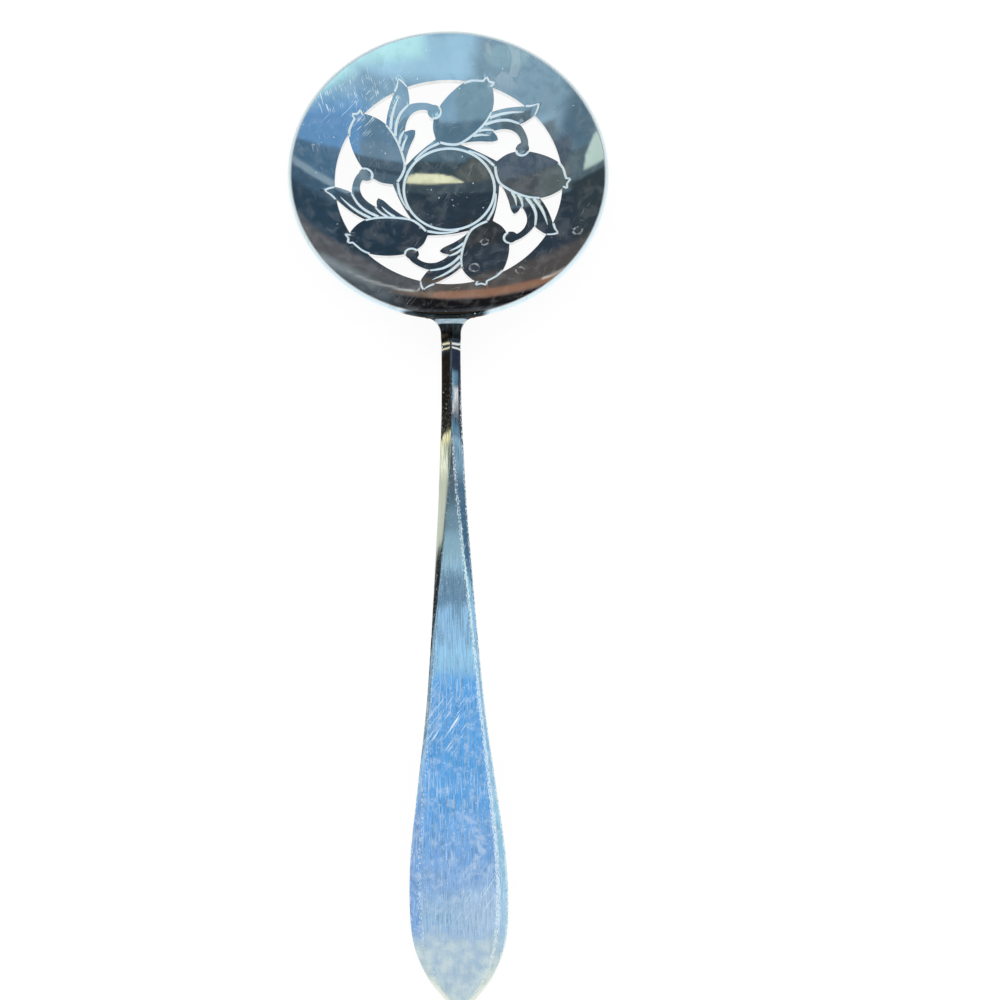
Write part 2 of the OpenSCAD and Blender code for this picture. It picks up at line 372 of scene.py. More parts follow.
handle = {
    "length": 193.1 - 2 * bowl["radius"],
    "neckWidth": 3.95,
    "neckHeight": 3.2,
    "gripWidth": 17.4,
    "gripThickness": 2.0,
    "archHeight": 18.36,
    "shoulderR": 2.9,
    "ridgeWidth": 0.25,
    "flatLimit": 0.85,  # of the half width, for the flat along the top
    "bevelDrop": 0.38,  # of the thickness
    "bevelSlope": 0.6,  # of the bevel's width
    "chamferWidth": 0.4,  # of the half width
    "chamferHeight": 0.3,  # of the thickness
    "edgeR": 0.16,
    "edgeShare": 0.3,  # of a face's width, at most, for the rounding
    "wearReach": 0.8,
    "wearShare": 0.4,
    "wearStart": 3,  # from the rim
    "wearAngle": math.radians(3.5),
    "step": 1.2,
    "beside": 0.5,  # how far past the fillets the closer stations go on
    "closerFrom": 6,  # how far before the tip they start again
    "gap": 0.3,  # left free before them
}


def run(share):
    return bowl["radius"] + share * handle["length"]


def sheetZ(r):
    return sphereZ - math.sqrt(middleR ** 2 - r * r)


bowlR, wall = bowl["radius"], bowl["wall"]
neckW, neckT = handle["neckWidth"], handle["neckHeight"]
gripW, gripT = handle["gripWidth"], handle["gripThickness"]
arch, shoulder, halfRidge = handle["archHeight"], handle["shoulderR"], handle["ridgeWidth"] / 2
filletS = math.sqrt((bowlR + shoulder) ** 2 - (neckW / 2 + shoulder) ** 2)
rootS = bowlR - wall * 2
sides = [[rootS, neckW / 2 + shoulder * 0.6]]  # distance from the bowl's axis, half width
for a in map(math.radians, range(0, 90, 6)):
    sides.append([filletS - shoulder * math.cos(a), neckW / 2 + shoulder * (1 - math.sin(a))])
sides += smoothLine([
    (filletS, neckW / 2), (run(0.035), neckW * 0.497), (run(0.055), neckW * 0.493),
    (run(0.09), neckW * 0.49), (run(0.16), neckW * 0.5),
    (run(0.24), neckW * 0.575), (run(0.32), neckW * 0.67), (run(0.4), gripW * 0.188),
    (run(0.5), gripW * 0.238), (run(0.6), gripW * 0.298), (run(0.7), gripW * 0.393),
    (run(0.79), gripW * 0.478), (run(0.855), gripW * 0.5), (run(0.91), gripW * 0.47),
    (run(0.955), gripW * 0.34), (run(0.985), gripW * 0.165), (run(0.997), gripW * 0.065),
    (run(1), gripW * 0.015),
], 10)
heights = smoothLine([  # distance, height of the top, thickness, half width of the flat along the top
    (rootS, sheetZ(rootS) + wall * 0.15, wall * 0.3, neckW * 0.5),
    (bowlR - wall * 0.36, rimZ + wall * 0.2, wall * 0.5, neckW * 0.55),
    (bowlR + neckT * 0.28, rimZ, neckT * 0.5, neckW * 0.47),
    (run(0.019), rimZ - wall * 0.05, neckT * 0.77, neckW * 0.22),
    (run(0.032), rimZ + neckT * 0.11, neckT * 0.96, halfRidge),
    (run(0.055), rimZ + neckT * 0.45, neckT * 1.02, halfRidge),
    (run(0.12), arch - (arch - rimZ) * 0.58, neckT, halfRidge),
    (run(0.22), arch - (arch - rimZ) * 0.26, neckT * 0.96, halfRidge),
    (run(0.36), arch, neckT * 0.88, gripW * 0.09),
    (run(0.5), arch * 0.94, neckT * 0.4 + gripT * 0.6, gripW * 0.19),
    (run(0.65), arch * 0.785, neckT * 0.2 + gripT * 0.8, gripW * 0.292),
    (run(0.8), arch * 0.5, gripT, gripW * 0.39),
    (run(0.9), arch * 0.27 + gripT * 0.2, gripT, gripW * 0.375),
    (run(0.96), arch * 0.12 + gripT * 0.6, gripT, gripW * 0.24),
    (run(1), gripT, gripT, gripW * 0.008),
], 10)


def handleSection(s, half, top, thick, flatHalf):
    # the flat along the top, a bevel down to each edge, upright sides and the chamfers below,
    # with five points in place of each corner: its rounding, and where the wear on it ends
    flat = min(flatHalf, half * handle["flatLimit"])
    edge = top - min(thick * handle["bevelDrop"], (half - flat) * handle["bevelSlope"])
    bottom = top - thick
    chamfer = min(half * handle["chamferWidth"], thick * handle["chamferHeight"])
    corners = [
        (-flat, top), (flat, top), (half, edge), (half, bottom + chamfer),
        (half - chamfer, bottom), (chamfer - half, bottom), (-half, bottom + chamfer), (-half, edge),
    ]
    section = []
    for k, corner in enumerate(corners):
        here = Vector(corner)
        before = Vector(corners[k - 1]) - here
        after = Vector(corners[(k + 1) % len(corners)]) - here
        rounding, worn = [], []
        for side in (before, after):
            rounding.append(here + side.normalized() * min(handle["edgeR"], side.length * handle["edgeShare"]))
            worn.append(here + side.normalized() * min(handle["wearReach"], side.length * handle["wearShare"]))
        middle = (rounding[0] + rounding[1]) / 4 + here / 2
        for point in (worn[0], rounding[0], middle, rounding[1], worn[1]):
            section.append((point.x, -s, point.y))
    return section


def handleSolid():
    # evenly spaced stations, and the table's own closer ones at the fillets and the tip
    closerS = run(1) - handle["closerFrom"]
    stations = [row[0] for row in sides if row[0] < filletS + handle["beside"]]
    s = stations[-1] + handle["step"] / 2
    while s < closerS:
        stations.append(s)
        s += handle["step"]
    stations += [row[0] for row in sides if row[0] > closerS + handle["gap"]]
    return loftSolid("handle", [
        handleSection(s, *readTable(sides, s), *readTable(heights, s)) for s in stations
    ])


def dropSolid():
    # under the rim and the neck's root, from a point on the bowl
    startS = bowlR - neckT * 1.7
    fullS = bowlR - neckT * 0.9
    under = rimZ - neckT * 0.82
    rows = smoothLine([
        (startS, neckW * 0.08, sheetZ(startS), sheetZ(startS) - under - wall * 0.1),
        (fullS, neckW * 0.33, sheetZ(fullS), sheetZ(fullS) - under),
        (bowlR - wall * 0.2, neckW * 0.46, rimZ - wall * 0.2, rimZ - wall * 0.2 - under),
        (bowlR + neckT * 1.05, neckW * 0.47, rimZ - wall * 0.6, rimZ - wall * 0.6 - under),
    ], 5)
    return loftSolid("drop", [handleSection(*row, row[1] * 0.8) for row in rows])


carve(server, [handleSolid(), dropSolid()], "UNION")
print("handle joined", len(server.data.polygons))


surface = {
    "sharpFrom": math.radians(28),
    "facing": 0.9,  # how nearly a sphere's face looks along the radius
    "slant": 0.3,  # a cut's sides lean by more than this, and the piercing's stand upright
    "handleFrom": 0.1,  # inside the rim
}


def finishSurface(piece):
    # faces meet softly, except at the piercing's edges and the cuts; the two spheres are true
    bpy.ops.object.select_all(action="DESELECT")
    bpy.context.view_layer.objects.active = piece
    piece.select_set(True)
    bpy.ops.object.mode_set(mode="EDIT")
    bpy.ops.mesh.select_all(action="SELECT")
    bpy.ops.mesh.remove_doubles(threshold=closeBy)
    bpy.ops.mesh.dissolve_degenerate(threshold=closeBy)
    bpy.ops.object.mode_set(mode="OBJECT")
    bpy.ops.object.shade_smooth_by_angle(angle=surface["sharpFrom"])
    weighted = piece.modifiers.new("weighted", "WEIGHTED_NORMAL")
    weighted.mode = "FACE_AREA"
    weighted.keep_sharp = True
    bpy.ops.object.modifier_apply(modifier=weighted.name)
    mesh = piece.data
    centre = Vector((0, 0, sphereZ * mm))
    lipStart = middleR * math.sin(lipAngle) * mm
    trueNormals = [tuple(n.vector) for n in mesh.corner_normals]
    for face in mesh.polygons:
        for k in face.loop_indices:
            spot = mesh.vertices[mesh.loops[k].vertex_index].co - centre
            out = spot.normalized()
            if math.hypot(spot.x, spot.y) > lipStart:
                continue
            facing = face.normal.dot(out)
            onOutside = abs(spot.length - outerR * mm) < closeBy and facing > surface["facing"]
            if abs(spot.length - innerR * mm) < closeBy and facing < -surface["facing"]:
                trueNormals[k] = tuple(-out)
            elif onOutside and spot.z + centre.z > closeBy:  # not on the small flat
                trueNormals[k] = tuple(out)
    mesh.normals_split_custom_set(trueNormals)


finishSurface(server)
print("surface finished", len(server.data.polygons))


# the finish: old polished silver, scratched, spotted and stained by use, with painted highlights and painted
# shade

finish = {
    "silver": (0.91, 0.915, 0.92, 1),
    # the pale colour of scratches, and of the painted highlights at the rim, the neck's root and the cuts
    "scratchAndHighlight": (0.84, 0.95, 0.98, 1),
    "stained": (0.58, 0.58, 0.56, 1),
    "clouded": (0.85, 0.91, 0.79, 1),
    # painted shade: the near-black at the handle's root and along the cuts' shoulders
    "paintedShade": (0.06, 0.045, 0.035, 1),
    "scratchAndHighlightScatter": 0.8,  # how far a scratch, and a painted highlight, takes the mirror away
    "stainDulls": 0.06,
    "paintedShadeDulls": 0.2,
    "scratchAndHighlightDulls": 0.25,
}


def addNode(tree, kind, values=None, **settings):
    # values go into the node's inputs, as a link where they come out of another node
    node = tree.nodes.new("ShaderNode" + kind)
    for setting, value in settings.items():
        setattr(node, setting, value)
    for socket, value in (values or {}).items():
        if isinstance(value, bpy.types.NodeSocket):
            tree.links.new(value, node.inputs[socket])
        else:
            node.inputs[socket].default_value = value
    return node


def calc(tree, operation, *values):
    return addNode(tree, "Math", dict(enumerate(values)), operation=operation).outputs[0]


def times(tree, *values):
    product = values[0]
    for value in values[1:]:
        product = calc(tree, "MULTIPLY", product, value)
    return product


def raised(tree, value, share, base):
    # a share of the value on top of a base
    return calc(tree, "MULTIPLY_ADD", value, share, base)


def opposite(tree, mask):
    return calc(tree, "SUBTRACT", 1.0, mask)


def most(tree, masks):
    # the strongest of several masks
    top = masks[0]
    for mask in masks[1:]:
        top = calc(tree, "MAXIMUM", top, mask)
    return top


def mostOf(tree, masks, shares):
    # the strongest of the named masks, each in its share
    return most(tree, [times(tree, masks[name], share) for name, share in shares.items()])


def fade(tree, value, low, high):
    # 0 at low and 1 at high, softly, whichever of the two is greater
    limits = {"Value": value, "From Min": low, "From Max": high}
    return addNode(tree, "MapRange", limits, interpolation_type="SMOOTHSTEP").outputs["Result"]


def inside(tree, value, low, high, soft):
    # 1 between two values, fading to 0 outside them
    above = fade(tree, value, low - soft, low)
    return times(tree, above, opposite(tree, fade(tree, value, high, high + soft)))


def blend(tree, share, under, over):
    return addNode(tree, "Mix", {0: share, 6: under, 7: over}, data_type="RGBA").outputs[2]


def vectorMath(tree, operation, *values):
    node = addNode(tree, "VectorMath", dict(enumerate(values)), operation=operation)
    return node.outputs["Value" if operation in ("DISTANCE", "LENGTH") else "Vector"]


def grain(tree, vector, scale, detail=2.0, distortion=0.0):
    values = {"Vector": vector, "Scale": scale, "Detail": detail, "Distortion": distortion}
    return addNode(tree, "TexNoise", values).outputs[0]


def newGroup(name, inputs):
    group = bpy.data.node_groups.new(name, "ShaderNodeTree")
    for socket, kind in inputs.items():
        group.interface.new_socket(name=socket, in_out="INPUT", socket_type="NodeSocket" + kind)
    group.interface.new_socket(name="Mask", in_out="OUTPUT", socket_type="NodeSocketFloat")
    entry = group.nodes.new("NodeGroupInput").outputs
    leave = group.nodes.new("NodeGroupOutput").inputs
    return group, entry, leave


def useGroup(tree, group, values):
    return addNode(tree, "Group", values, node_tree=group).outputs[0]


def hairlineGroup():
    # scratches that run one way: noise drawn out along them, in broken patches
    inputs = {"Vector": "Vector", "Angle": "Float", "Width": "Float", "Length": "Float", "Amount": "Float"}
    tree, entry, leave = newGroup("hairlines", inputs)
    turn = {"Vector": entry["Vector"], "Angle": entry["Angle"]}
    swung = addNode(tree, "VectorRotate", turn, rotation_type="Z_AXIS").outputs[0]
    size = {"X": entry["Width"], "Y": entry["Length"], "Z": entry["Length"]}
    drawn = vectorMath(tree, "DIVIDE", swung, addNode(tree, "CombineXYZ", size).outputs[0])
    low = raised(tree, entry["Amount"], -0.25, 0.8)
    lines = fade(tree, grain(tree, drawn, 1.0, 1.0), low, calc(tree, "ADD", low, 0.07))
    patches = fade(tree, grain(tree, swung, 110.0), 0.42, 0.62)
    tree.links.new(times(tree, lines, patches), leave["Mask"])
    return tree


def speckGroup():
    # small dots in some of the cells of an uneven net
    inputs = {"Vector": "Vector", "Spacing": "Float", "Size": "Float", "Share": "Float"}
    tree, entry, leave = newGroup("specks", inputs)
    closer = calc(tree, "DIVIDE", 1.0, entry["Spacing"])
    spread = addNode(tree, "VectorMath", {0: entry["Vector"], 3: closer}, operation="SCALE").outputs[0]
    cells = addNode(tree, "TexVoronoi", {"Vector": spread, "Scale": 1.0}).outputs
    far = fade(tree, cells["Distance"], times(tree, entry["Size"], 0.5), entry["Size"])
    chosen = addNode(tree, "SeparateColor", {0: cells["Color"]}).outputs[0]
    kept = calc(tree, "LESS_THAN", chosen, entry["Share"])
    tree.links.new(times(tree, opposite(tree, far), kept), leave["Mask"])
    return tree


def ringGroup():
    # the mark of a dried drop: a thin uneven ring round a point
    inputs = {"Vector": "Vector", "Centre": "Vector", "Radius": "Float", "Line": "Float"}
    tree, entry, leave = newGroup("driedRing", inputs)
    flat = vectorMath(tree, "MULTIPLY", entry["Vector"], (1.0, 1.0, 0.0))
    far = vectorMath(tree, "DISTANCE", flat, entry["Centre"])
    uneven = raised(tree, grain(tree, flat, 700.0), entry["Line"], far)
    off = calc(tree, "ABSOLUTE", calc(tree, "SUBTRACT", uneven, entry["Radius"]))
    beside = fade(tree, calc(tree, "DIVIDE", off, entry["Line"]), 0.3, 1.0)
    worn = fade(tree, grain(tree, flat, 900.0), 0.35, 0.6)
    tree.links.new(times(tree, opposite(tree, beside), worn), leave["Mask"])
    return tree


hairlines, specks, driedRing = hairlineGroup(), speckGroup(), ringGroup()


# the marks, each given in millimetres

def metres(lengths):
    return [length * mm for length in lengths]


def lines(tree, spot, rows):
    return most(tree, [
        useGroup(tree, hairlines, {
            "Vector": spot, "Angle": math.radians(degrees),
            "Width": width * mm, "Length": length * mm, "Amount": amount,
        })
        for degrees, width, length, amount in rows
    ])


def dots(tree, spot, rows):
    return most(tree, [
        useGroup(tree, specks, {"Vector": spot, "Spacing": spacing * mm, "Size": size, "Share": share})
        for spacing, size, share in rows
    ])


def rings(tree, spot, rows):
    return most(tree, [
        useGroup(tree, driedRing, {
            "Vector": spot, "Centre": (x * mm, y * mm, 0.0), "Radius": radius * mm, "Line": width * mm,
        })
        for x, y, radius, width in rows
    ])


def near(tree, spot, x, y, z, radius, soft):
    # 1 around a point, fading to 0 at the radius
    far = vectorMath(tree, "DISTANCE", spot, (x * mm, y * mm, z * mm))
    return opposite(tree, fade(tree, far, (radius - soft) * mm, radius * mm))


def hair(tree, spot, width, length):
    # the fine grain that rubbing along the piece leaves
    finer = (1 / (width * mm), 1 / (length * mm), 1 / (length * mm))
    return grain(tree, vectorMath(tree, "MULTIPLY", spot, finer), 1.0, 3.0)


def newMaterial(name):
    material = bpy.data.materials.new(name)
    material.use_nodes = True
    return material, material.node_tree


def newSilver(name):
    silver, tree = newMaterial(name)
    gloss = tree.nodes["Principled BSDF"].inputs
    spot = addNode(tree, "TexCoord").outputs["Object"]
    return silver, tree, gloss, spot


def finishSilver(tree, gloss, scratchesAndHighlights, stains, paintedShade, rough, pale=finish["scratchAndHighlight"]):
    # scratches and painted highlights scatter white light, stains dull the silver, and painted shade darkens
    # the handle's root and the cuts' shoulders
    colour = blend(tree, stains, finish["silver"], finish["stained"])
    colour = blend(tree, paintedShade, colour, finish["paintedShade"])
    tree.links.new(blend(tree, scratchesAndHighlights, colour, pale), gloss["Base Color"])
    tree.links.new(raised(tree, scratchesAndHighlights, -finish["scratchAndHighlightScatter"], 1.0), gloss["Metallic"])
    rough = raised(tree, stains, finish["stainDulls"], rough)
    rough = raised(tree, paintedShade, finish["paintedShadeDulls"], rough)
    tree.links.new(raised(tree, scratchesAndHighlights, finish["scratchAndHighlightDulls"], rough), gloss["Roughness"])


def roughen(tree, gloss, height, strength, distance):
    bump = addNode(tree, "Bump", {"Height": height, "Strength": strength, "Distance": distance * mm})
    tree.links.new(bump.outputs[0], gloss["Normal"])


bowlWear = {
    # scratches: degrees, width, length, amount
    "strays": [(28, 0.16, 4.5, 0.38), (-50, 0.14, 6.0, 0.3), (74, 0.15, 3.5, 0.32)],
    "crowdLines": [(-15, 0.22, 2.5, 0.7), (40, 0.2, 3.5, 0.6)],
    # dots: spacing, size in their cell, share of the cells
    "pits": [(2.3, 0.09, 0.4), (0.9, 0.12, 0.07)],
    "crowdPits": [(1.2, 0.14, 0.5)],
    # dried drops: place, radius, width of the line
    "drops": [(7.1, -12.7, 0.9, 0.3), (4.9, -19.2, 1.1, 0.3), (14.1, -21, 1, 0.3), (25.8, -13.3, 1, 0.3)],
    # patches: place, radius, softness
    "crowd": (-21, 17, 8, 19, 14),
    "damp": (11, 27, 8, 11, 8),
    # limits, from the bowl's axis or across it
    "rim": (31.55, 32.1),
    "rootAcross": (-8.5, 6, 2.5),
    "rootAlong": (30.4, 31.3),
    # share of each mark
    "stains": {"cloud": 0.4, "tide": 0.25, "polish": 0.2, "grit": 0.4},
    # scratches, and the painted highlight along the rim
    "scratchesAndHighlights": {
        "strays": 0.42, "pits": 0.75, "crowded": 1.0, "drops": 0.45, "dried": 0.2, "haze": 0.06, "rim": 1.0,
    },
}


def bowlFinish():
    silver, tree, gloss, spot = newSilver("bowlSilver")
    wear = bowlWear
    apart = addNode(tree, "SeparateXYZ", {0: spot}).outputs
    flat = addNode(tree, "CombineXYZ", {0: apart["X"], 1: apart["Y"]}).outputs[0]
    away = vectorMath(tree, "LENGTH", flat)
    # painted shade: the bowl darkened where the handle's root grows out of it
    root = times(
        tree,
        inside(tree, apart["X"], *metres(wear["rootAcross"])),
        fade(tree, times(tree, apart["Y"], -1.0), *metres(wear["rootAlong"])),
    )
    crowded = most(tree, [lines(tree, spot, wear["crowdLines"]), dots(tree, spot, wear["crowdPits"])])
    wet = grain(tree, spot, 95.0, 5.0, 1.0)
    damp = near(tree, spot, *wear["damp"])
    grit = grain(tree, spot, 380.0, 6.0, 0.5)
    masks = {
        "cloud": fade(tree, grain(tree, spot, 55.0, 6.0, 0.8), 0.42, 0.72),
        "tide": times(tree, damp, inside(tree, wet, 0.49, 0.515, 0.015)),
        "dried": times(tree, damp, fade(tree, wet, 0.505, 0.53)),
        "polish": fade(tree, hair(tree, spot, 0.3, 3.0), 0.4, 0.7),
        "grit": fade(tree, grit, 0.46, 0.7),
        "haze": fade(tree, grit, 0.54, 0.34),
        "strays": lines(tree, spot, wear["strays"]),
        "pits": dots(tree, spot, wear["pits"]),
        "crowded": times(tree, crowded, near(tree, spot, *wear["crowd"])),
        "drops": rings(tree, spot, wear["drops"]),
        # painted highlight: a thin white line along the lip, broken up by noise, but not at the handle's root
        "rim": times(
            tree, fade(tree, away, *metres(wear["rim"])), opposite(tree, root), fade(tree, wet, 0.1, 0.4)),
    }
    stains = mostOf(tree, masks, wear["stains"])
    scratchesAndHighlights = mostOf(tree, masks, wear["scratchesAndHighlights"])
    rough = raised(tree, grain(tree, spot, 300.0, 4.0), 0.03, 0.01)
    finishSilver(tree, gloss, scratchesAndHighlights, stains, root, rough)
    roughen(tree, gloss, grain(tree, spot, 90.0, 1.0), 0.05, 0.3)
    return silver


handleWear = {
    # scratches, dots, a wiped arc and patches, with the same numbers as on the bowl
    "lengthwise": [(0, 0.14, 3.5, 0.85), (3, 0.2, 7.0, 0.7)],
    "slanting": [(36, 0.2, 5.5, 0.72), (-62, 0.18, 4.0, 0.5)],
    "scuffs": [(-58, 0.3, 5.0, 0.9)],
    "small": [(1.1, 0.17, 0.5), (0.5, 0.22, 0.3)],
    "arc": [(-1.6, -133, 6.2, 1.3)],
    "cluster": (-1, -112, 15, 9, 7),
    "lastCluster": (4, -142, 7, 9, 7),
    "bright": (6, -145, 7, 9, 7),
    "scuffed": (-3, -134, 15.5, 6, 4),
    # limits along the handle, from the bowl's axis, some with the softness of their ends
    "corner": (35, 36.6),
    "chafed": (43, 50),
    "used": (40, 80),
    "grip": (90, 115),
    "tip": (151, 155),
    "dull": (69, 81, 5),
    "rootHighlightAlong": (32.7, 33.4, 0.2),
    # limits across it
    "rootHighlightAcross": (-2.9, 3.1, 0.4),
    "rightSide": (-0.2, 0.4),
    "arcAcross": (-3, 3),
    "stains": {"cloud": 0.35, "tip": 0.5, "streaks": 1.0, "dull": 0.85, "scuffs": 1.0},
    # scratches and wear, with the painted highlight on the neck's root
    "scratchesAndHighlights": {
        "lengthwise": 1.0, "slanting": 1.0, "small": 1.0, "wiped": 0.42, "chafed": 0.85,
        "mottled": 0.42, "bright": 0.26, "tipHaze": 1.0, "rootHighlight": 1.0,
    },
}


def handleFinish():
    silver, tree, gloss, spot = newSilver("handleSilver")
    wear = handleWear
    apart = addNode(tree, "SeparateXYZ", {0: spot}).outputs
    across, along = apart["X"], times(tree, apart["Y"], -1.0)
    used = fade(tree, along, *metres(wear["used"]))
    grip = fade(tree, along, *metres(wear["grip"]))
    ragged = raised(tree, grain(tree, spot, 160.0, 4.0), 10 * mm, along)
    tip = fade(tree, ragged, *metres(wear["tip"]))
    rubbing = hair(tree, spot, 0.16, 4.0)
    # painted highlight: a pale, finely streaked patch on the neck's root, just past the rim
    rootHighlight = inside(tree, across, *metres(wear["rootHighlightAcross"]))
    rootHighlight = times(tree, rootHighlight, inside(tree, along, *metres(wear["rootHighlightAlong"])))
    lastCluster = times(tree, near(tree, spot, *wear["lastCluster"]), 0.7)
    cluster = most(tree, [near(tree, spot, *wear["cluster"]), lastCluster])
    # the edges are chafed more on the right, and more at the grip
    edge = addNode(tree, "Attribute", attribute_name="wornEdge").outputs["Fac"]
    sided = raised(tree, fade(tree, across, *metres(wear["rightSide"])), 0.3, 0.08)
    sided = raised(tree, grip, 0.16, sided)
    chafed = raised(tree, hair(tree, spot, 0.16, 0.45), 2.0, times(tree, fade(tree, edge, 0.2, 1.0), sided))
    mottled = calc(tree, "ADD", rubbing, grain(tree, spot, 700.0, 4.0))
    haze = fade(tree, grain(tree, spot, 520.0, 6.0), 0.35, 0.7)
    masks = {
        "lengthwise": times(tree, lines(tree, spot, wear["lengthwise"]), raised(tree, grip, 0.42, 0.1)),
        "slanting": times(tree, lines(tree, spot, wear["slanting"]), used, raised(tree, cluster, 0.8, 0.2)),
        "small": times(tree, dots(tree, spot, wear["small"]), raised(tree, grip, 0.4, 0.15)),
        "wiped": times(tree, rings(tree, spot, wear["arc"]), fade(tree, across, *metres(wear["arcAcross"]))),
        "chafed": times(tree, fade(tree, chafed, 1.2, 1.6), fade(tree, along, *metres(wear["chafed"]))),
        "mottled": times(tree, fade(tree, mottled, 0.98, 1.25), grip),
        "bright": near(tree, spot, *wear["bright"]),
        "tipHaze": times(tree, tip, raised(tree, haze, 0.34, 0.38)),
        "rootHighlight": times(tree, rootHighlight, raised(tree, hair(tree, spot, 2.0, 0.12), 0.9, 0.2)),
        "cloud": fade(tree, grain(tree, spot, 90.0, 6.0, 0.6), 0.45, 0.72),
        "tip": tip,
        "streaks": times(tree, fade(tree, rubbing, 0.47, 0.6), raised(tree, used, 0.75, 0.1)),
        "dull": inside(tree, along, *metres(wear["dull"])),
        "scuffs": times(tree, lines(tree, spot, wear["scuffs"]), near(tree, spot, *wear["scuffed"])),
    }
    stains = mostOf(tree, masks, wear["stains"])
    scratchesAndHighlights = mostOf(tree, masks, wear["scratchesAndHighlights"])
    # painted shade: the handle darkened from the rim to a ragged line just past it
    uneven = raised(tree, grain(tree, spot, 500.0), -2 * mm, along)
    corner = opposite(tree, fade(tree, uneven, *metres(wear["corner"])))
    rough = raised(tree, times(tree, rubbing, used), 0.12, 0.015)
    pale = blend(tree, tip, finish["scratchAndHighlight"], finish["clouded"])
    finishSilver(tree, gloss, scratchesAndHighlights, stains, corner, rough, pale)
    roughen(tree, gloss, rubbing, 0.1, 0.02)
    return silver


def cutFinish():
    # painted highlight at the bottom of a cut, painted shade along its shoulders
    silver, tree, gloss, spot = newSilver("cutSilver")
    far = vectorMath(tree, "DISTANCE", spot, (0, 0, sphereZ * mm))
    shoulder = opposite(tree, fade(tree, far, (innerR + 0.03) * mm, (innerR + 0.06) * mm))
    bright = raised(tree, grain(tree, spot, 600.0), 0.4, 0.8)
    scratchesAndHighlights = times(tree, bright, raised(tree, shoulder, -0.6, 1.0))
    finishSilver(tree, gloss, scratchesAndHighlights, 0.0, shoulder, 0.1)
    return silver


def wearAttribute(mesh):
    # 1 on the handle's long edges, for the wear there
    cage = bmesh.new()
    cage.from_mesh(mesh)
    layer = cage.verts.layers.float.new("wornEdge")
    for edge in cage.edges:
        onHandle = edge.verts[0].co.y < -(bowlR + handle["wearStart"]) * mm
        if onHandle and len(edge.link_faces) == 2 and edge.calc_face_angle_signed(0) > handle["wearAngle"]:
            for vert in edge.verts:
                vert[layer] = 1.0
    worn = [vert[layer] for vert in cage.verts]
    cage.free()
    attribute = mesh.attributes.new("wornEdge", "FLOAT", "POINT")
    attribute.data.foreach_set("value", worn)


def dressSilver(piece):
    mesh = piece.data
    mesh.materials.clear()  # the cutters leave empty slots behind
    for silver in (bowlFinish(), handleFinish(), cutFinish()):
        mesh.materials.append(silver)
    onBowl, onHandle, inCut = 0, 1, 2
    centre = Vector((0, 0, sphereZ * mm))
    for face in mesh.polygons:
        spot = face.center
        out = spot - centre
        below = innerR * mm + closeBy < out.length < (innerR + graver["reach"]) * mm
        slanting = abs(face.normal.z) > surface["slant"] and face.normal.dot(out) < 0
        if below and slanting and math.hypot(spot.x, spot.y) < graver["outerR"] * mm:
            face.material_index = inCut
        elif -spot.y > (bowlR - surface["handleFrom"]) * mm:
            face.material_index = onHandle
        else:
            face.material_index = onBowl
    wearAttribute(mesh)


dressSilver(server)
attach(server, "root")
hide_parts("tomato_server")
print("silver dressed", len(server.data.materials))


# the stage: a pale floor, a panelled ceiling that only the silver mirrors, and the camera

